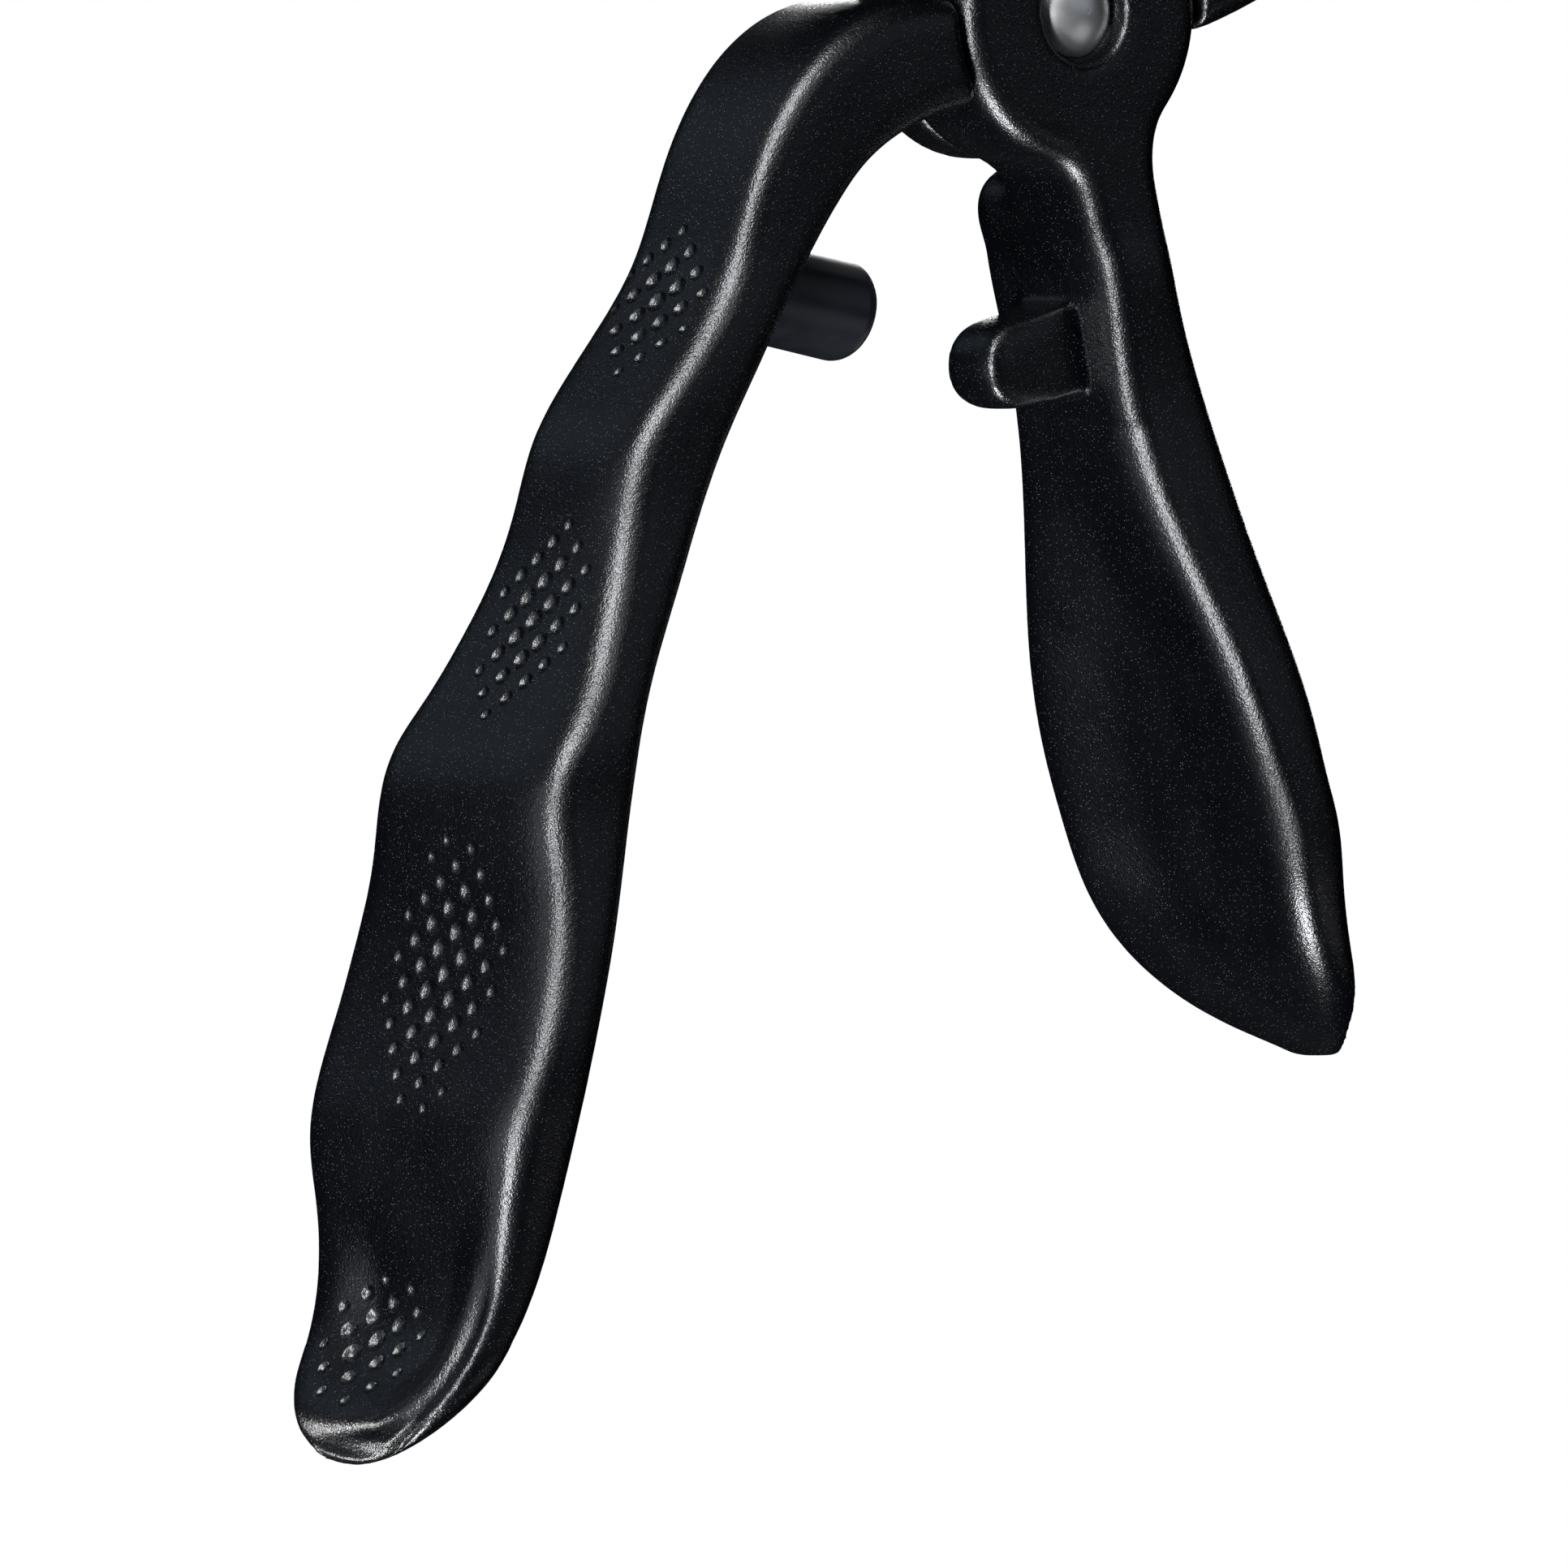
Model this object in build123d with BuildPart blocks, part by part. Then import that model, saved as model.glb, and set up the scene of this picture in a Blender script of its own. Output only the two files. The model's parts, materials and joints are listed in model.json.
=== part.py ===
from build123d import *
import math
import os

# A plier-type jar lifter: two moulded levers on one rivet. Each lever is a handle below the hinge and a
# curved jaw arm with a soft-lined cradle above it. It is drawn standing, jaws up and open.
# Millimetres. X to the right, Y to the back, Z up. The pivot axis is the Y axis, and Y = 0 is the flat
# back face of the hinge.

# ---------- driving dimensions ----------
hinge_depth = 16.5            # front face to back face at the hinge
rear_disc_depth = 5.5         # the finger lever's half of the hinge
disc_gap = 0.1                # air between the two discs
disc_radius = 12.6            # the palm lever's disc, in front
rear_disc_radius = 12.2
rear_disc_round = 1.0
disc_clearance = 0.45         # between the front disc and the finger lever's arms
notch_radius = 13.3           # cleared in the palm lever round the rear disc
edge_round = 2.2              # soft edges of the hinge and neck

rivet_radius = 1.8
head_radius = 3.85
head_rim = 0.3
head_height = 2.1
tail_radius = 2.9
tail_height = 0.75
recess_radius = 4.45
recess_depth = 2.0
bush_bore_radius = 1.85
bush_radius = 2.7
running_clearance = 0.05
rear_washer_radius = 4.4
rear_washer_thick = 0.75
rear_pocket_radius = 4.7
rear_pocket_depth = 1.7

spring_wire = 0.9
spring_radius = 4.7           # to the middle of the wire
spring_turns = 3
spring_pitch = 1.1
spring_pocket_inner = 3.7
spring_pocket_outer = 5.9
spring_leg = 2.4
leg_margin = 8.0              # degrees of slot past the moving leg at each end
thrust_inner = 6.8
thrust_outer = 10.4
thrust_depth = 0.5
thrust_thick = 0.55

close_angle = 25.0            # degrees the finger lever turns until the stops meet

cradle_radius = 40.0          # inside of the soft lining
pad_thick = 3.0
cradle_thick = 3.5
cradle_height = 20.0
cradle_half_angle = 50.0
cradle_z = 100.0              # middle of the cradles above the pivot
cradle_offset = 10.0          # each cradle's arc centre stands this far from the middle when open
cradle_tilt = 6.0             # lean when open, so that the cradles stand upright on a jar
rib_count = 9
rib_radius = 0.9
stud_angle = 34.0
stud_radius = 2.2
stud_head_radius = 3.2
stud_head_height = 1.0

peg_radius = 4.3
peg_end_x = -18.4
peg_end_z = -24.84
peg_angle = -10.6             # the stop peg points right and a little down
peg_length = 16.0
peg_round = 1.7
block_radius = 3.75
block_x = -2.55
block_z = -29.1
block_angle = 13.7            # the stop block rises to the right, into the palm handle
block_length = 12.0
block_depth = 6.8

# ---------- derived ----------
mid_y = -hinge_depth / 2
front_y = -hinge_depth
rear_disc_y = -rear_disc_depth
front_disc_y = rear_disc_y - disc_gap
recess_floor_y = front_y + recess_depth
bush_end_y = -rear_pocket_depth + running_clearance
rear_washer_y = bush_end_y + rear_washer_thick
spring_floor_y = front_disc_y - spring_turns * spring_pitch - spring_wire
arm_clear_radius = disc_radius + disc_clearance
cradle_inner = cradle_radius + pad_thick
cradle_outer = cradle_inner + cradle_thick
leg_hole_radius = spring_wire / 2 + 0.15

# Cross-sections square to a lever: centre x, centre z, lean, thickness, depth in Y, corner radius.
finger_arm_sections = [
    (-7.0, -2.6, -78.0, 9.4, 16.1, 2.4),
    (-13.5, -3.5, -76.0, 9.6, 16.1, 2.4),
    (-19.5, -4.9, -66.0, 10.7, 16.0, 2.5),
    (-25.0, -8.5, -50.0, 10.5, 15.6, 2.6),
    (-28.6, -13.3, -24.0, 9.9, 15.0, 2.6),
]
finger_jaw_sections = [
    (8.0, 2.45, 105.6, 10.3, 16.1, 2.4),
    (15.5, 4.6, 106.0, 10.6, 16.1, 2.4),
    (25.0, 9.0, 118.0, 10.0, 15.9, 2.4),
    (34.5, 16.8, 135.0, 9.6, 15.6, 2.4),
    (42.0, 28.0, 151.0, 9.0, 15.0, 2.4),
    (47.8, 43.0, 162.0, 8.4, 14.6, 2.4),
    (52.0, 60.0, 168.5, 8.0, 14.6, 2.4),
    (54.8, 78.0, 172.5, 7.4, 16.0, 2.4),
    (56.7, 94.0, 174.0, 6.2, 20.0, 2.4),
    (58.1, 108.0, 174.0, 4.4, 16.0, 1.8),
]
palm_jaw_sections = [
    (-7.5, 5.2, 70.0, 8.6, 16.1, 2.4),
    (-15.0, 8.4, 64.0, 9.2, 16.1, 2.4),
    (-25.0, 13.6, 60.0, 9.4, 15.9, 2.4),
    (-34.5, 20.4, 48.0, 9.4, 15.6, 2.4),
    (-42.0, 30.0, 31.0, 9.0, 15.0, 2.4),
    (-47.6, 44.0, 18.0, 8.4, 14.6, 2.4),
    (-51.8, 60.0, 11.5, 8.0, 14.6, 2.4),
    (-54.8, 78.0, 7.5, 7.4, 16.0, 2.4),
    (-56.7, 94.0, 6.0, 6.2, 20.0, 2.4),
    (-58.1, 108.0, 6.0, 4.4, 16.0, 1.8),
]

# Level cuts of the handles: height, left x, right x, depth in Y. Four finger grooves lie between
# the swellings at heights -36, -61 and -92 and the lip at the bottom.
finger_handle_cuts = [
    (-19.5, -36.4, -27.2, 14.9),
    (-25.0, -39.6, -30.9, 15.7),
    (-30.0, -43.5, -34.1, 16.3),
    (-35.5, -47.4, -37.1, 15.9),
    (-41.0, -49.2, -39.7, 16.1),
    (-46.5, -51.0, -42.4, 17.6),
    (-52.0, -53.5, -45.6, 20.2),
    (-56.5, -56.0, -48.1, 22.6),
    (-61.0, -59.0, -49.8, 24.1),
    (-65.5, -60.5, -50.6, 24.0),
    (-70.0, -60.6, -51.8, 25.2),
    (-76.5, -61.4, -53.9, 27.6),
    (-82.0, -62.8, -55.7, 28.9),
    (-87.5, -64.7, -57.3, 29.3),
    (-92.5, -66.2, -58.2, 28.0),
    (-98.0, -66.2, -59.2, 26.3),
    (-103.5, -66.5, -60.6, 24.9),
    (-108.5, -67.8, -62.8, 23.7),
    (-113.0, -70.4, -65.5, 21.6),
    (-117.0, -72.8, -68.6, 15.6),
    (-119.5, -73.1, -70.4, 6.0),
]
palm_handle_cuts = [
    (-17.0, 1.3, 9.4, 15.8),
    (-24.5, 3.0, 11.2, 16.9),
    (-35.0, 5.3, 15.0, 16.9),
    (-43.0, 7.5, 16.9, 20.8),
    (-50.0, 9.8, 18.3, 25.6),
    (-57.0, 12.1, 20.0, 29.0),
    (-63.5, 14.4, 21.6, 30.2),
    (-70.0, 16.7, 23.3, 29.6),
    (-75.5, 19.1, 25.2, 26.6),
    (-80.0, 22.8, 28.0, 21.6),
    (-82.5, 25.7, 29.8, 16.2),
    (-84.5, 28.7, 31.6, 9.6),
    (-85.9, 30.8, 32.7, 4.6),
]


def facing_front(y):
    """Plane square to the pivot axis at this depth: local x is X, local y is Z, normal to the front."""
    return Plane(origin=(0, y, 0), x_dir=(1, 0, 0), z_dir=(0, -1, 0))


def across(x, z, lean):
    """Plane square to a lever's centre line. Lean 0 is a level cut."""
    turn = math.radians(lean)
    return Plane(
        origin=(x, mid_y, z),
        x_dir=(math.cos(turn), 0, math.sin(turn)),
        z_dir=(-math.sin(turn), 0, math.cos(turn)),
    )


def along(x, z, angle):
    """Plane whose normal points this many degrees above the X axis, at mid depth."""
    turn = math.radians(angle)
    return Plane(origin=(x, mid_y, z), x_dir=(0, 1, 0), z_dir=(math.cos(turn), 0, math.sin(turn)))


def cradle_plane(side):
    """Plane through a cradle's middle, normal along its arc's axis. Side 1 is right, -1 is left."""
    turn = math.radians(cradle_tilt)
    return Plane(
        origin=(side * cradle_offset, mid_y, cradle_z),
        x_dir=(side * math.cos(turn), 0, -math.sin(turn)),
        z_dir=(side * math.sin(turn), 0, math.cos(turn)),
    )


def ring_sector(inner, outer, start, sweep):
    """Closed outline between two arcs about the plane's origin, from the start angle round by the sweep."""
    CenterArc((0, 0), inner, start, sweep)
    CenterArc((0, 0), outer, start, sweep)
    for degrees in (start, start + sweep):
        turn = math.radians(degrees)
        Line(
            (inner * math.cos(turn), inner * math.sin(turn)),
            (outer * math.cos(turn), outer * math.sin(turn)),
        )


def stud_plane(side, angle, radius):
    """Plane facing outward from a cradle's arc, at this angle round it and this radius."""
    base = cradle_plane(side)
    turn = math.radians(angle)
    outward = base.x_dir * math.cos(turn) + base.y_dir * math.sin(turn)
    return Plane(origin=base.origin + outward * radius, x_dir=base.z_dir, z_dir=outward)


# ---------- palm lever ----------
with BuildPart() as palm_lever:
    # neck behind the hinge disc, with a round shoulder under the other lever's disc
    with BuildSketch(facing_front(0)):
        with BuildLine():
            Spline((2.5, -22.0), (1.5, -19.0), (0.75, -16.2), (1.2, -14.4), (2.9, -12.9), (5.4, -12.0))
            Line((5.4, -12.0), (8.6, -10.4))
            Spline((8.6, -10.4), (8.25, -12.2), (8.6, -14.4), (9.3, -17.2), (10.6, -22.0))
            Line((10.6, -22.0), (2.5, -22.0))
        make_face()
    extrude(amount=rear_disc_depth + disc_gap + 1)
    fillet(palm_lever.faces().sort_by(Axis.Y)[-1].edges(), edge_round)
    # hinge disc and the neck below it
    with BuildSketch(facing_front(front_disc_y)):
        Circle(disc_radius)
        with BuildLine():
            Spline((-3.8, -11.95), (-1.7, -12.8), (-0.3, -14.1), (0.6, -16.4), (1.5, -19.0), (2.5, -22.0))
            Line((2.5, -22.0), (10.6, -22.0))
            Spline((10.6, -22.0), (9.3, -17.2), (8.6, -14.4), (8.25, -12.2), (8.5, -10.2), (9.85, -7.75))
            Line((9.85, -7.75), (-3.8, -11.95))
        make_face()
    extrude(amount=hinge_depth + front_disc_y)
    fillet(palm_lever.faces().sort_by(Axis.Y)[0].edges(), edge_round)
    # handle, widening to a paddle for the palm
    for height, left, right, depth in palm_handle_cuts:
        with BuildSketch(Plane.XY.offset(height)):
            with Locations(((left + right) / 2, mid_y)):
                RectangleRounded(right - left, depth, min(2.4, 0.42 * (right - left)))
    loft()
    # jaw arm
    for x, z, lean, thick, depth, corner in palm_jaw_sections:
        with BuildSketch(across(x, z, lean)):
            RectangleRounded(thick, depth, corner)
    loft()
    # cradle
    with BuildSketch(cradle_plane(-1).offset(-cradle_height / 2)):
        with BuildLine():
            ring_sector(cradle_inner, cradle_outer, -cradle_half_angle, 2 * cradle_half_angle)
        make_face()
    extrude(amount=cradle_height)
    for angle in (-stud_angle, stud_angle):
        with BuildSketch(stud_plane(-1, angle, cradle_inner - 1)):
            Circle(stud_radius)
        extrude(amount=cradle_thick + 2, mode=Mode.SUBTRACT)
    # room for the finger lever's rear disc
    with BuildSketch(facing_front(1)):
        Circle(notch_radius)
    extrude(amount=1 + rear_disc_depth + disc_gap, mode=Mode.SUBTRACT)
    # stop block on the inner face
    with BuildSketch(facing_front(mid_y + block_depth / 2)):
        with Locations(Location((block_x, block_z), block_angle)):
            with Locations((block_length / 2, 0)):
                Rectangle(block_length, 2 * block_radius)
            Circle(block_radius)
    extrude(amount=block_depth)
    # rivet recess, bush bore, spring pocket and washer seat
    with BuildSketch(facing_front(recess_floor_y)):
        Circle(recess_radius)
    extrude(amount=recess_depth + 1, mode=Mode.SUBTRACT)
    with BuildSketch(facing_front(front_disc_y)):
        Circle(bush_radius)
    extrude(amount=hinge_depth, mode=Mode.SUBTRACT)
    with BuildSketch(facing_front(front_disc_y)):
        Circle(spring_pocket_outer)
        Circle(spring_pocket_inner, mode=Mode.SUBTRACT)
    extrude(amount=front_disc_y - spring_floor_y, mode=Mode.SUBTRACT)
    with BuildSketch(facing_front(front_disc_y)):
        Circle(thrust_outer + 0.1)
        Circle(thrust_inner - 0.1, mode=Mode.SUBTRACT)
    extrude(amount=thrust_depth, mode=Mode.SUBTRACT)

    # seat for the spring's fixed leg
    with BuildSketch(facing_front(spring_floor_y)):
        with Locations((0, spring_radius)):
            Circle(leg_hole_radius)
    extrude(amount=spring_leg + 0.2, mode=Mode.SUBTRACT)
palm_lever.part.label = "palm_lever"

# ---------- finger lever ----------
with BuildPart() as finger_lever:
    # finger handle, from the hinge down
    for x, z, lean, thick, depth, corner in finger_arm_sections:
        with BuildSketch(across(x, z, lean)):
            RectangleRounded(thick, depth, corner)
    for height, left, right, depth in finger_handle_cuts:
        with BuildSketch(Plane.XY.offset(height)):
            with Locations(((left + right) / 2, mid_y)):
                RectangleRounded(right - left, depth, min(2.6, 0.42 * (right - left)))
    loft()
    # jaw arm
    for x, z, lean, thick, depth, corner in finger_jaw_sections:
        with BuildSketch(across(x, z, lean)):
            RectangleRounded(thick, depth, corner)
    loft()
    # cradle
    with BuildSketch(cradle_plane(1).offset(-cradle_height / 2)):
        with BuildLine():
            ring_sector(cradle_inner, cradle_outer, -cradle_half_angle, 2 * cradle_half_angle)
        make_face()
    extrude(amount=cradle_height)
    for angle in (-stud_angle, stud_angle):
        with BuildSketch(stud_plane(1, angle, cradle_inner - 1)):
            Circle(stud_radius)
        extrude(amount=cradle_thick + 2, mode=Mode.SUBTRACT)
    # room for the palm lever's front disc
    with BuildSketch(facing_front(rear_disc_y)):
        Circle(arm_clear_radius)
    extrude(amount=hinge_depth, mode=Mode.SUBTRACT)
    # hinge disc
    with BuildSketch(facing_front(0)):
        Circle(rear_disc_radius)
    extrude(amount=rear_disc_depth)
    fillet(finger_lever.edges(Select.LAST).filter_by(GeomType.CIRCLE).sort_by(Axis.Y)[-1], rear_disc_round)
    # bush bore, washer pocket and the arc the spring's moving leg stands in
    with BuildSketch(facing_front(1)):
        Circle(bush_radius + running_clearance)
    extrude(amount=rear_disc_depth + 2, mode=Mode.SUBTRACT)
    with BuildSketch(facing_front(1)):
        Circle(rear_pocket_radius)
    extrude(amount=1 + rear_pocket_depth, mode=Mode.SUBTRACT)
    with BuildSketch(facing_front(rear_disc_y)):
        with BuildLine():
            ring_sector(
                spring_radius - leg_hole_radius,
                spring_radius + leg_hole_radius,
                90 - close_angle - leg_margin,
                close_angle + 2 * leg_margin,
            )
        make_face()
    extrude(amount=spring_leg, both=True, mode=Mode.SUBTRACT)
    # socket for the stop peg
    with BuildSketch(along(peg_end_x, peg_end_z, peg_angle).offset(-peg_length)):
        Circle(peg_radius)
    extrude(amount=peg_length, mode=Mode.SUBTRACT)
finger_lever.part.label = "finger_lever"

# ---------- stop peg ----------
with BuildPart() as stop_peg:
    with BuildSketch(along(peg_end_x, peg_end_z, peg_angle).offset(-peg_length)):
        Circle(peg_radius)
    extrude(amount=peg_length)
    fillet(stop_peg.edges().filter_by(GeomType.CIRCLE).sort_by(Axis.X)[-1], peg_round)
stop_peg.part.label = "stop_peg"

# ---------- pivot rivet ----------
dome_height = head_height - head_rim
dome_radius = (head_radius**2 + dome_height**2) / (2 * dome_height)
with BuildPart() as pivot_rivet:
    # domed head
    with BuildSketch(Plane.YZ):
        with BuildLine():
            Line((recess_floor_y, 0), (recess_floor_y, head_radius))
            Line((recess_floor_y, head_radius), (recess_floor_y - head_rim, head_radius))
            RadiusArc(
                (recess_floor_y - head_rim, head_radius),
                (recess_floor_y - head_height, 0),
                -dome_radius,
            )
            Line((recess_floor_y - head_height, 0), (recess_floor_y, 0))
        make_face()
    revolve(axis=Axis.Y)
    # shank and set tail
    with BuildSketch(facing_front(rear_washer_y)):
        Circle(rivet_radius)
    extrude(amount=rear_washer_y - recess_floor_y + 0.5)
    with BuildSketch(facing_front(rear_washer_y + tail_height)):
        Circle(tail_radius)
    extrude(amount=tail_height)
    chamfer(pivot_rivet.edges().group_by(Axis.Y)[-1], 0.25)
pivot_rivet.part.label = "pivot_rivet"

# ---------- pivot bush ----------
with BuildPart() as pivot_bush:
    with BuildSketch(facing_front(bush_end_y)):
        Circle(bush_radius)
        Circle(bush_bore_radius, mode=Mode.SUBTRACT)
    extrude(amount=bush_end_y - recess_floor_y)
pivot_bush.part.label = "pivot_bush"

# ---------- rear washer ----------
with BuildPart() as rear_washer:
    with BuildSketch(facing_front(rear_washer_y)):
        Circle(rear_washer_radius)
        Circle(bush_bore_radius, mode=Mode.SUBTRACT)
    extrude(amount=rear_washer_thick)
rear_washer.part.label = "rear_washer"

# ---------- thrust washer, between the discs ----------
with BuildPart() as thrust_washer:
    with BuildSketch(facing_front(front_disc_y - thrust_depth + thrust_thick)):
        Circle(thrust_outer)
        Circle(thrust_inner, mode=Mode.SUBTRACT)
    extrude(amount=thrust_thick)
thrust_washer.part.label = "thrust_washer"

# ---------- torsion spring ----------
with BuildPart() as torsion_spring:
    with BuildLine():
        coil = Helix(
            pitch=spring_pitch,
            height=spring_turns * spring_pitch,
            radius=spring_radius,
            center=(0, spring_floor_y + spring_wire / 2, 0),
            direction=(0, 1, 0),
        )
    with BuildSketch(Plane(origin=coil @ 0, z_dir=coil % 0)):
        Circle(spring_wire / 2)
    sweep(is_frenet=True)
    # fixed leg to the front, moving leg to the back
    with BuildSketch(Plane(origin=coil @ 0, x_dir=(1, 0, 0), z_dir=(0, -1, 0))):
        Circle(spring_wire / 2)
    extrude(amount=spring_leg)
    with BuildSketch(Plane(origin=coil @ 1, x_dir=(1, 0, 0), z_dir=(0, 1, 0))):
        Circle(spring_wire / 2)
    extrude(amount=spring_leg)
torsion_spring.part.label = "torsion_spring"

# ---------- soft linings, one per cradle, snapped in by two studs each ----------
pads = {}
for name, side in (("palm_jaw_pad", -1), ("finger_jaw_pad", 1)):
    with BuildPart() as pad:
        with BuildSketch(cradle_plane(side).offset(-cradle_height / 2 + 0.5)):
            with BuildLine():
                ring_sector(cradle_radius, cradle_inner, -cradle_half_angle, 2 * cradle_half_angle)
            make_face()
            rib_span = 2 * cradle_half_angle - 10
            with PolarLocations(cradle_radius + 0.2, rib_count, -rib_span / 2, rib_span, endpoint=True):
                Circle(rib_radius)
        extrude(amount=cradle_height - 1)
        for angle in (-stud_angle, stud_angle):
            with BuildSketch(stud_plane(side, angle, cradle_inner - 1)):
                Circle(stud_radius)
            extrude(amount=cradle_thick + 1.2)
            with BuildSketch(stud_plane(side, angle, cradle_outer)):
                Circle(stud_head_radius)
            extrude(amount=stud_head_height)
    pad.part.label = name
    pads[name] = pad.part

# ---------- files ----------
pieces = [
    palm_lever.part,
    finger_lever.part,
    stop_peg.part,
    pivot_rivet.part,
    pivot_bush.part,
    rear_washer.part,
    thrust_washer.part,
    torsion_spring.part,
    *pads.values(),
]
os.makedirs("parts", exist_ok=True)
for piece in pieces:
    export_step(piece, f"parts/{piece.label}.step")
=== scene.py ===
import json
import math

import bmesh
import bpy
import numpy as np
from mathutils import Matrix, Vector
from mathutils.bvhtree import BVHTree


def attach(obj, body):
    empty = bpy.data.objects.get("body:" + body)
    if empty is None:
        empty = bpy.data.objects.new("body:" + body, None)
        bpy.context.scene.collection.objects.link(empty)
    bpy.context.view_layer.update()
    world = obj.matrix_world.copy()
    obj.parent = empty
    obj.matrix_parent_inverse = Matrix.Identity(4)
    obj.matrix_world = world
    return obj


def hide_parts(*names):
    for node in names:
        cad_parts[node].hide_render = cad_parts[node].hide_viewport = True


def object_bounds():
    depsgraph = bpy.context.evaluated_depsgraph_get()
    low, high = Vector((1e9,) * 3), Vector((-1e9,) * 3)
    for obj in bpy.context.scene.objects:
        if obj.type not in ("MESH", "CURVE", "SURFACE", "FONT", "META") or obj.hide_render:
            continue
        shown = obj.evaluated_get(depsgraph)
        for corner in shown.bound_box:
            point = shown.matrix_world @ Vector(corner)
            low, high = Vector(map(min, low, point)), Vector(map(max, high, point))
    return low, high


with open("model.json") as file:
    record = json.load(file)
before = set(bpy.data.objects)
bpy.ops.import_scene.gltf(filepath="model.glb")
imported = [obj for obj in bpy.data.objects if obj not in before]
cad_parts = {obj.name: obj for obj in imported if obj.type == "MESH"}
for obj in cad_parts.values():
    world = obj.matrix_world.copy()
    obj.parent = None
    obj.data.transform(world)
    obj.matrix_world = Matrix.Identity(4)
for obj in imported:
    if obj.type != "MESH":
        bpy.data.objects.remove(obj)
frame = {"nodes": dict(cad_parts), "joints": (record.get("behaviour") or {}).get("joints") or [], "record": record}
cad_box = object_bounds()

MM = 0.001
hinge = Vector(frame["joints"][0]["pos_m"])
mid_y = hinge.y                 # the plane halfway through both handles

VOXEL = 0.4 * MM                # grid on which the levers are rebuilt
SOFTENING = 24                  # rounds of smoothing over each whole lever
BLOCK_SOFTENING = 60            # more rounds, over the stop block only

FINGER_TOP = -15 * MM           # the finger handle's faces are shaped below this height
PALM_TOP = -34 * MM             # and the palm handle's inner face below this one
BLOCK_TOP = -22.5 * MM
BLOCK_BOTTOM = -40 * MM
BLOCK_FRONT = mid_y - 3.4 * MM

# ---------------------------------------------------------------- materials


def new_material(name):
    material = bpy.data.materials.new(name)
    material.use_nodes = True
    tree = material.node_tree
    tree.nodes.clear()
    output = tree.nodes.new("ShaderNodeOutputMaterial")
    shader = tree.nodes.new("ShaderNodeBsdfPrincipled")
    tree.links.new(shader.outputs["BSDF"], output.inputs["Surface"])
    return material, tree, shader


def noise_node(tree, scale, detail=2.0, roughness=0.5):
    coordinates = tree.nodes.new("ShaderNodeTexCoord")
    texture = tree.nodes.new("ShaderNodeTexNoise")
    texture.inputs["Scale"].default_value = scale
    texture.inputs["Detail"].default_value = detail
    texture.inputs["Roughness"].default_value = roughness
    tree.links.new(coordinates.outputs["Object"], texture.inputs["Vector"])
    return texture.outputs["Fac"]


def speck_node(tree, scale, radius):
    """1 inside small round specks scattered through the material, 0 elsewhere. Used to place painted glints."""
    coordinates = tree.nodes.new("ShaderNodeTexCoord")
    texture = tree.nodes.new("ShaderNodeTexVoronoi")
    texture.inputs["Scale"].default_value = scale
    tree.links.new(coordinates.outputs["Object"], texture.inputs["Vector"])
    return remap(tree, texture.outputs["Distance"], 0.6 * radius, radius, 1.0, 0.0)


def remap(tree, value, low, high, to_low, to_high):
    node = tree.nodes.new("ShaderNodeMapRange")
    node.inputs["From Min"].default_value = low
    node.inputs["From Max"].default_value = high
    node.inputs["To Min"].default_value = to_low
    node.inputs["To Max"].default_value = to_high
    tree.links.new(value, node.inputs["Value"])
    return node.outputs["Result"]


def bump(tree, height, strength, distance, normal=None):
    node = tree.nodes.new("ShaderNodeBump")
    node.inputs["Strength"].default_value = strength
    node.inputs["Distance"].default_value = distance
    tree.links.new(height, node.inputs["Height"])
    if normal is not None:
        tree.links.new(normal, node.inputs["Normal"])
    return node.outputs["Normal"]


def two_tone(tree, value, low, high):
    """Mix of two colours; the low one may be another node's output."""
    node = tree.nodes.new("ShaderNodeMix")
    node.data_type = "RGBA"
    if isinstance(low, tuple):
        node.inputs[6].default_value = (*low, 1)
    else:
        tree.links.new(low, node.inputs[6])
    node.inputs[7].default_value = (*high, 1)
    tree.links.new(value, node.inputs[0])
    return node.outputs[2]


def moulded_nylon():
    """Black glass-filled nylon: a fine spark-eroded grain that breaks highlights into glints."""
    material, tree, shader = new_material("moulded_nylon")
    shader.inputs["IOR"].default_value = 1.5
    sand = remap(tree, noise_node(tree, 7800, 1.0, 0.7), 0.42, 0.75, 0.0, 1.0)
    body = two_tone(tree, sand, (0.0001, 0.0001, 0.0002), (0.0011, 0.0014, 0.0028))
    # painted glints: small lighter specks in the base colour stand in for the sparkle of light off the grain
    painted_glint = speck_node(tree, 3600, 0.145)
    tree.links.new(two_tone(tree, painted_glint, body, (0.080, 0.085, 0.100)), shader.inputs["Base Color"])
    cloud = noise_node(tree, 140, 3)
    tree.links.new(remap(tree, cloud, 0.3, 0.7, 0.26, 0.32), shader.inputs["Roughness"])
    peel = bump(tree, noise_node(tree, 2400, 1.5), 0.5, 0.00006)
    grain = bump(tree, noise_node(tree, 6200, 1.0), 1.0, 0.00004, peel)
    tree.links.new(grain, shader.inputs["Normal"])
    crease = tree.nodes.new("ShaderNodeAttribute")
    crease.attribute_name = "crease"
    shine = remap(tree, crease.outputs["Fac"], 0.0, 1.0, 0.5, 0.0)
    tree.links.new(shine, shader.inputs["Specular IOR Level"])
    return material


def smooth_nylon():
    material, tree, shader = new_material("smooth_nylon")
    shader.inputs["Base Color"].default_value = (0.0035, 0.0042, 0.0065, 1)
    shader.inputs["IOR"].default_value = 1.5
    cloud = noise_node(tree, 300, 3)
    tree.links.new(remap(tree, cloud, 0.3, 0.7, 0.30, 0.40), shader.inputs["Roughness"])
    grain = bump(tree, noise_node(tree, 3500, 2.0), 0.25, 0.00003)
    tree.links.new(grain, shader.inputs["Normal"])
    return material


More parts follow.
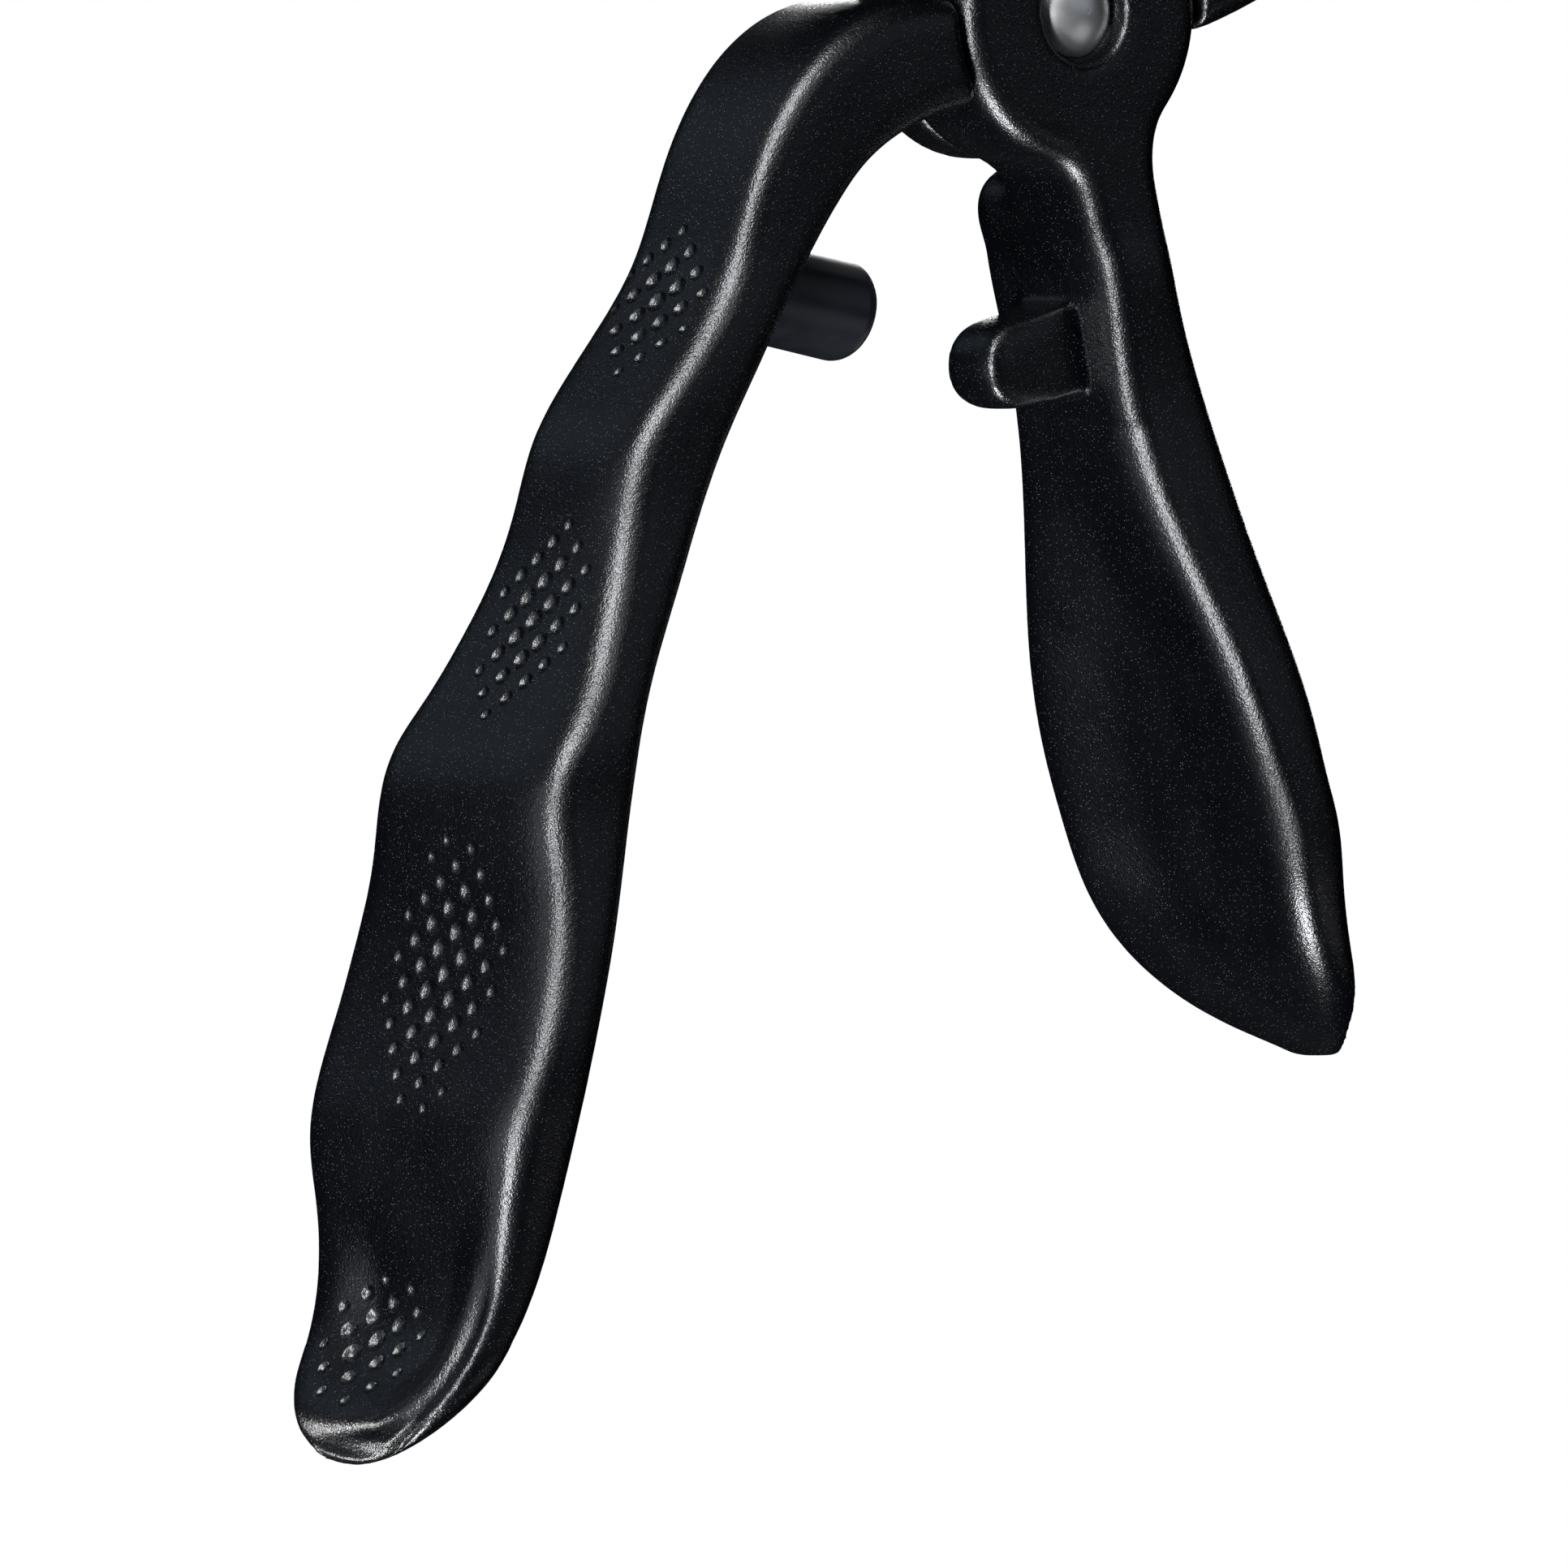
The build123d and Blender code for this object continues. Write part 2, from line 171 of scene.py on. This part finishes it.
def steel(name, colour, rough_low, rough_high, grain_scale):
    material, tree, shader = new_material(name)
    shader.inputs["Base Color"].default_value = (*colour, 1)
    shader.inputs["Metallic"].default_value = 1.0
    marks = noise_node(tree, grain_scale, 4)
    tree.links.new(remap(tree, marks, 0.3, 0.7, rough_low, rough_high), shader.inputs["Roughness"])
    return material


def silicone():
    material, tree, shader = new_material("silicone")
    shader.inputs["Base Color"].default_value = (0.018, 0.018, 0.02, 1)
    shader.inputs["IOR"].default_value = 1.43
    dust = noise_node(tree, 400, 5)
    tree.links.new(remap(tree, dust, 0.3, 0.7, 0.55, 0.72), shader.inputs["Roughness"])
    tree.links.new(bump(tree, noise_node(tree, 5000, 1.5), 0.4, 0.00004), shader.inputs["Normal"])
    return material


def acetal():
    material, tree, shader = new_material("acetal")
    shader.inputs["Base Color"].default_value = (0.78, 0.78, 0.75, 1)
    haze = noise_node(tree, 900, 3)
    tree.links.new(remap(tree, haze, 0.3, 0.7, 0.35, 0.5), shader.inputs["Roughness"])
    return material


slots = {
    "moulded_nylon": moulded_nylon(),
    "smooth_nylon": smooth_nylon(),
    "polished_steel": steel("polished_steel", (0.86, 0.86, 0.86), 0.36, 0.38, 900),
    "plain_steel": steel("plain_steel", (0.58, 0.58, 0.57), 0.3, 0.45, 2500),
    "spring_steel": steel("spring_steel", (0.45, 0.45, 0.45), 0.25, 0.4, 4000),
    "acetal": acetal(),
    "silicone": silicone(),
}
for part in frame["record"]["subparts"]:
    node = frame["nodes"][part["node"]]
    node.data.materials.clear()
    node.data.materials.append(slots[part["material_slot"]])

# ---------------------------------------------------------------- levers


def apply_modifiers(piece):
    depsgraph = bpy.context.evaluated_depsgraph_get()
    final = bpy.data.meshes.new_from_object(piece.evaluated_get(depsgraph))
    piece.modifiers.clear()
    piece.data = final


def softened_copy(name, node):
    """A closed copy of a CAD node with its corners softened as a moulding's are."""
    mesh = frame["nodes"][node].data.copy()
    piece = bpy.data.objects.new(name, mesh)
    bpy.context.scene.collection.objects.link(piece)
    shell = piece.modifiers.new("shell", "REMESH")
    shell.mode = "VOXEL"
    shell.voxel_size = VOXEL
    shell.use_smooth_shade = True
    soften = piece.modifiers.new("soften", "SMOOTH")
    soften.factor = 0.5
    soften.iterations = SOFTENING
    apply_modifiers(piece)
    piece.data.materials.clear()
    piece.data.materials.append(slots["moulded_nylon"])
    piece.data.shade_smooth()
    return piece


finger = softened_copy("finger_lever_moulding", "finger_lever")
palm = softened_copy("palm_lever_moulding", "palm_lever")


def read_points(mesh):
    points = np.empty(len(mesh.vertices) * 3)
    mesh.vertices.foreach_get("co", points)
    return points.reshape(-1, 3)


def read_normals(mesh):
    normals = np.empty(len(mesh.vertices) * 3)
    mesh.vertices.foreach_get("normal", normals)
    return normals.reshape(-1, 3)


def write_points(mesh, points):
    mesh.vertices.foreach_set("co", points.ravel())
    mesh.update()


def ease(values, start, end):
    """0 at start and below, 1 at end and beyond, smooth between."""
    t = np.clip((values - start) / (end - start), 0, 1)
    return t * t * (3 - 2 * t)


def edge_distance(points, low, high, step=0.5 * MM):
    """How far each point lies inside the outline that the band from low to high shows from the left."""
    band = points[(points[:, 2] > low) & (points[:, 2] < high)]
    levels = np.arange(band[:, 2].min(), high, step)
    outline = []
    for level in levels:
        row = band[np.abs(band[:, 2] - level) < step]
        outline.append((np.abs(row[:, 1] - mid_y).max(), level))
    outline.insert(0, (0.0, levels[0]))
    outline = np.array(outline)
    across = np.abs(points[:, 1] - mid_y)
    nearest = np.full(len(points), 1.0)
    for (y0, z0), (y1, z1) in zip(outline[:-1], outline[1:]):
        run = np.array((y1 - y0, z1 - z0))
        offset = np.stack((across - y0, points[:, 2] - z0), axis=1)
        t = np.clip(offset @ run / (run @ run), 0, 1)
        gap = np.hypot(offset[:, 0] - t * run[0], offset[:, 1] - t * run[1])
        nearest = np.minimum(nearest, gap)
    return nearest


def edge_fall(inside, depth, width):
    """A face that falls away ever faster over this width as it nears its edge."""
    return depth * np.clip(1 - inside / width, 0, 1) ** 2


def round_end(points, centre_z):
    """Draw the outline below this height onto half an ellipse, seen from the left."""
    across, drop = points[:, 1] - mid_y, centre_z - points[:, 2]
    below = drop > 0
    angle = np.arctan2(drop, np.abs(across))
    reach = np.hypot(across, drop)
    bins = np.linspace(0, math.pi / 2, 46)
    rim = [reach[below & (np.abs(angle - b) < math.radians(2.5))].max() for b in bins]
    ratio = rim[-1] / rim[0]
    target = rim[0] / np.sqrt(np.cos(angle) ** 2 + (np.sin(angle) / ratio) ** 2)
    scale = target / np.interp(angle, bins, rim)
    points[below, 1] = mid_y + across[below] * scale[below]
    points[below, 2] = centre_z - drop[below] * scale[below]


def soften_more(piece, weights, rounds):
    """Smooth the piece again, only where the weights say."""
    group = piece.vertex_groups.new(name="soft")
    for index in np.flatnonzero(weights):
        group.add([int(index)], float(weights[index]), "REPLACE")
    soften = piece.modifiers.new("soften", "SMOOTH")
    soften.factor = 0.5
    soften.iterations = rounds
    soften.vertex_group = "soft"
    apply_modifiers(piece)
    piece.vertex_groups.clear()


def block_weights(points):
    """1 on the stop block, fading to 0 where it meets the palm handle."""
    x, z = points[:, 0], points[:, 2]
    away_from_root = 1 - ease(x, -1.0 * MM, 1.5 * MM)
    return away_from_root * ease(-z, -BLOCK_TOP, -BLOCK_TOP + 2 * MM) * (z > BLOCK_BOTTOM)


def crown_and_dish(mesh):
    """Finger handle's outer face: softly crowned, ending in a thumb dish with a double rim."""
    points = read_points(mesh)
    round_end(points, -109 * MM)
    write_points(mesh, points)
    outer = np.clip(-read_normals(mesh)[:, 0], 0, 1) ** 0.5
    z = points[:, 2]
    handle = z < FINGER_TOP
    inside = np.zeros(len(points))
    inside[handle] = edge_distance(points[handle], z.min(), FINGER_TOP)
    # the crown falls towards the front edge only, and dies out near the hinge
    crown = edge_fall(inside, 0.8 * MM, 6.0 * MM) * (1 - ease(z, -24 * MM, -16 * MM))
    crown *= 1 - ease(points[:, 1], mid_y - 1 * MM, mid_y + 1 * MM)
    # the dish takes over from the crown near the end of the handle
    dish = 1 - ease(z, -99 * MM, -94 * MM)
    # a valley parts the two rims, and fades out towards the back
    back = ease(points[:, 1], mid_y - 6 * MM, mid_y + 3 * MM)
    valley = 0.8 * MM * np.exp(-(((inside - 1.9 * MM) / (0.8 * MM)) ** 2)) * ease(-z, 101 * MM, 110 * MM)
    valley *= 1 - 0.9 * back
    # the bowl lies inside the inner rim
    bowl_end = (6.8 + 2.2 * back) * MM
    bowl = 1.3 * MM * ease(inside, 3.4 * MM, bowl_end) * (1 - ease(z, -108 * MM, -98 * MM))
    # the very end curls in towards the palm handle
    curl = 2.2 * MM * np.clip((-z - 111 * MM) / (8.5 * MM), 0, 1) ** 2
    drop = (crown * (1 - dish) + dish * (valley + bowl + curl)) * outer * handle
    points[:, 0] += drop
    write_points(mesh, points)


# Patches of dimples down the outer face: middle across, middle height, half width, half height, and the
# steps (across, up) to the next dimple in a row and to the next row. All in millimetres.
DIMPLE_PATCHES = [
    (0.4, -23.9, 5.6, 6.2, (-3.40, -0.53), (-1.77, -1.71)),
    (-0.2, -50.1, 5.8, 8.6, (-3.22, -0.45), (-1.74, -1.82)),
    (-0.2, -79.2, 7.6, 11.4, (-3.17, -0.73), (-1.30, -2.08)),
    (2.6, -109.2, 5.6, 5.4, (-3.23, -0.81), (-1.16, -1.93)),
]
DIMPLE_RADIUS = 1.0
DIMPLE_DEPTH = 0.46


def dimple_places(surface):
    """Centre, inward direction, radius and depth of every dimple, found on the surface from the left."""
    places = []
    for across, height, half_width, half_height, along, down in DIMPLE_PATCHES:
        for i in range(-8, 9):
            for j in range(-12, 13):
                y = i * along[0] + j * down[0]
                z = i * along[1] + j * down[1]
                spread = (y / half_width) ** 2 + (z / half_height) ** 2
                if spread > 1:
                    continue
                size = 1 - 0.48 * spread
                start = Vector((-0.2, mid_y + (across + y) * MM, (height + z) * MM))
                centre, normal, _, _ = surface.ray_cast(start, Vector((1, 0, 0)))
                places.append((centre, -normal, DIMPLE_RADIUS * size * MM, DIMPLE_DEPTH * size * MM))
    return places


def press_dimples(mesh):
    """Cut the mesh finer round every dimple, then push its points in."""
    shape = bmesh.new()
    shape.from_mesh(mesh)
    surface = BVHTree.FromBMesh(shape)
    places = dimple_places(surface)
    centres = np.array([tuple(place[0]) for place in places])
    inwards = np.array([tuple(place[1]) for place in places])
    radii = np.array([place[2] for place in places])
    depths = np.array([place[3] for place in places])
    near = set()
    for face in shape.faces:
        if face.normal.x < -0.3 and face.calc_center_median().z < FINGER_TOP:
            gaps = np.linalg.norm(centres - np.array(face.calc_center_median()), axis=1) - radii
            if gaps.min() < 0.45 * MM:
                near.update(face.edges)
    bmesh.ops.subdivide_edges(shape, edges=list(near), cuts=3, use_grid_fill=True)
    bmesh.ops.triangulate(shape, faces=[face for face in shape.faces if len(face.verts) > 4])
    shape.to_mesh(mesh)
    shape.free()
    points = read_points(mesh)
    for centre, inward, radius, depth in zip(centres, inwards, radii, depths):
        offset = points - centre
        along = offset @ inward
        t = np.sqrt(np.maximum((offset**2).sum(axis=1) - along**2, 0)) / radius
        hit = (t < 1) & (np.abs(along) < 2 * MM)
        points[hit] += inward * (depth * (1 - t[hit] ** 2) ** 1.25)[:, None]
    write_points(mesh, points)


def hollow_palm_face(mesh):
    """Palm handle's inner face: a shallow channel that deepens into the paddle."""
    points = read_points(mesh)
    inner = np.clip(-read_normals(mesh)[:, 0] - 0.3, 0, 0.7) / 0.7
    z = points[:, 2]
    handle = z < PALM_TOP
    inside = np.zeros(len(points))
    inside[handle] = edge_distance(points[handle], z.min(), PALM_TOP)
    length = ease(-z, 36 * MM, 52 * MM) * (1 - ease(-z, 70 * MM, 83 * MM))
    front = 1 - ease(points[:, 1], mid_y - 1 * MM, mid_y + 1 * MM)
    channel = 1.3 * MM * ease(inside, 2.0 * MM, 12 * MM) * length
    points[:, 0] += (channel + front * edge_fall(inside, 0.6 * MM, 4.5 * MM)) * inner * handle
    write_points(mesh, points)


def mark_crease(mesh):
    """Mark the corner at the stop block's root. It is sharp in the moulding, but softening has rounded
    it here, so the material takes its shine away."""
    points, normals = read_points(mesh), read_normals(mesh)
    x, y, z = points.T
    corner = np.clip(2 * normals[:, 0] * normals[:, 1], 0, 1)
    beside_handle = (x > 1.5 * MM) & (np.abs(y - BLOCK_FRONT) < 1.5 * MM)
    near = beside_handle & (z < BLOCK_TOP) & (z > BLOCK_BOTTOM)
    crease = mesh.attributes.new("crease", "FLOAT", "POINT")
    crease.data.foreach_set("value", np.sqrt(corner * near).astype(np.float32))


soften_more(palm, block_weights(read_points(palm.data)), BLOCK_SOFTENING)
crown_and_dish(finger.data)
press_dimples(finger.data)
hollow_palm_face(palm.data)
mark_crease(palm.data)
for piece, node, body in ((finger, "finger_lever", "finger"), (palm, "palm_lever", "palm")):
    piece.data.shade_smooth()
    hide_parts(node)
    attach(piece, body)

# ---------------------------------------------------------------- stage

VIEW_TURN = math.radians(-40)
FRAME_WIDTH = 128.8 * MM
FRAME_MIDDLE_ACROSS = -19.6 * MM        # from the hinge, to the camera's right
FRAME_MIDDLE_UP = -63.53 * MM
CAMERA_DISTANCE = 0.8
toward_camera = Vector((math.sin(VIEW_TURN), -math.cos(VIEW_TURN), 0))
across_view = Vector((math.cos(VIEW_TURN), math.sin(VIEW_TURN), 0))
target = hinge + across_view * FRAME_MIDDLE_ACROSS + Vector((0, 0, FRAME_MIDDLE_UP))

camera_data = bpy.data.cameras.new("camera")
camera_data.type = "ORTHO"
camera_data.ortho_scale = FRAME_WIDTH
camera = bpy.data.objects.new("camera", camera_data)
camera.location = target + toward_camera * CAMERA_DISTANCE
camera.rotation_euler = toward_camera.to_track_quat("Z", "Y").to_euler()
bpy.context.scene.collection.objects.link(camera)
bpy.context.scene.camera = camera


WHITE = (1, 1, 1)
COOL = (0.94, 0.97, 1.0)
COOLER = (0.80, 0.88, 1.0)
BLUE = (0.68, 0.82, 1.0)


def softbox(name, turn, rise, width, height, power, colour=WHITE, aim=target, distance=1.2):
    """An area light seen from its aim at this turn from the camera's side and rise above level."""
    turn, rise = VIEW_TURN + math.radians(turn), math.radians(rise)
    direction = Vector((math.sin(turn) * math.cos(rise), -math.cos(turn) * math.cos(rise), math.sin(rise)))
    data = bpy.data.lights.new(name, "AREA")
    data.shape = "RECTANGLE"
    data.size = width
    data.size_y = height
    data.energy = power
    data.color = colour
    light = bpy.data.objects.new(name, data)
    light.location = aim + direction * distance
    light.rotation_euler = direction.to_track_quat("Z", "Y").to_euler()
    light.visible_camera = False
    bpy.context.scene.collection.objects.link(light)
    return light


# three strips, one above another, draw the line along the rounded front edges
softbox("key", -25, -6, 0.18, 0.72, 23.0, COOL)
softbox("high_key", -25, 46, 0.20, 0.9, 22.0, COOL)
softbox("low_key", -25, -66, 0.20, 0.6, 30.0, COOL)
# the faces turned left, the shoulders beside the edges, and the back of the part
softbox("left_fill", -112, 36, 0.7, 0.6, 0.40, BLUE)
softbox("shoulder", -66, 0, 0.4, 1.2, 2.2, COOLER)
softbox("back", 172, 28, 0.4, 1.0, 14.0)
# the rivet's dome and the front faces
softbox("top", 10, 50, 0.9, 0.7, 2.4)
softbox("front_right", 70, 20, 0.9, 0.8, 0.6, COOLER)
softbox("low_right", 80, -30, 0.7, 0.5, 0.4)

# a small lamp close to the lip at the end of the finger handle
lip = Vector((-71 * MM, mid_y + 3 * MM, -120.5 * MM))
lip_light = softbox("lip_light", -101, 0, 0.03, 0.012, 0.0009, aim=lip, distance=0.07)
lip_light.data.spread = math.radians(16)

FLOOR_REACH = 1.5
FLOOR_DROP = 12 * MM                    # below the lowest point of the part
floor_mesh = bpy.data.meshes.new("floor")
level = cad_box[0][2] - FLOOR_DROP
floor_mesh.from_pydata(
    [(x * FLOOR_REACH, y * FLOOR_REACH, level) for x, y in ((-1, -1), (1, -1), (1, 1), (-1, 1))],
    [],
    [(0, 1, 2, 3)],
)
floor = bpy.data.objects.new("floor", floor_mesh)
floor_paint, _, floor_shader = new_material("floor_paint")
floor_shader.inputs["Base Color"].default_value = (0.9, 0.9, 0.9, 1)
floor_shader.inputs["Roughness"].default_value = 0.9
floor_mesh.materials.append(floor_paint)
floor.visible_glossy = False
floor.visible_diffuse = False
floor.visible_shadow = False
bpy.context.scene.collection.objects.link(floor)

# the camera sees a white backdrop, and the part sees a nearly dark room
world = bpy.data.worlds.new("studio")
world.use_nodes = True
nodes, links = world.node_tree.nodes, world.node_tree.links
nodes.clear()
output = nodes.new("ShaderNodeOutputWorld")
room = nodes.new("ShaderNodeBackground")
room.inputs["Color"].default_value = (0.75, 0.87, 1.0, 1)
room.inputs["Strength"].default_value = 0.004
backdrop = nodes.new("ShaderNodeBackground")
backdrop.inputs["Color"].default_value = (1, 1, 1, 1)
backdrop.inputs["Strength"].default_value = 1.0
path = nodes.new("ShaderNodeLightPath")
mix = nodes.new("ShaderNodeMixShader")
links.new(path.outputs["Is Camera Ray"], mix.inputs["Fac"])
links.new(room.outputs["Background"], mix.inputs[1])
links.new(backdrop.outputs["Background"], mix.inputs[2])
links.new(mix.outputs["Shader"], output.inputs["Surface"])
bpy.context.scene.world = world
bpy.context.scene.view_settings.view_transform = "Standard"
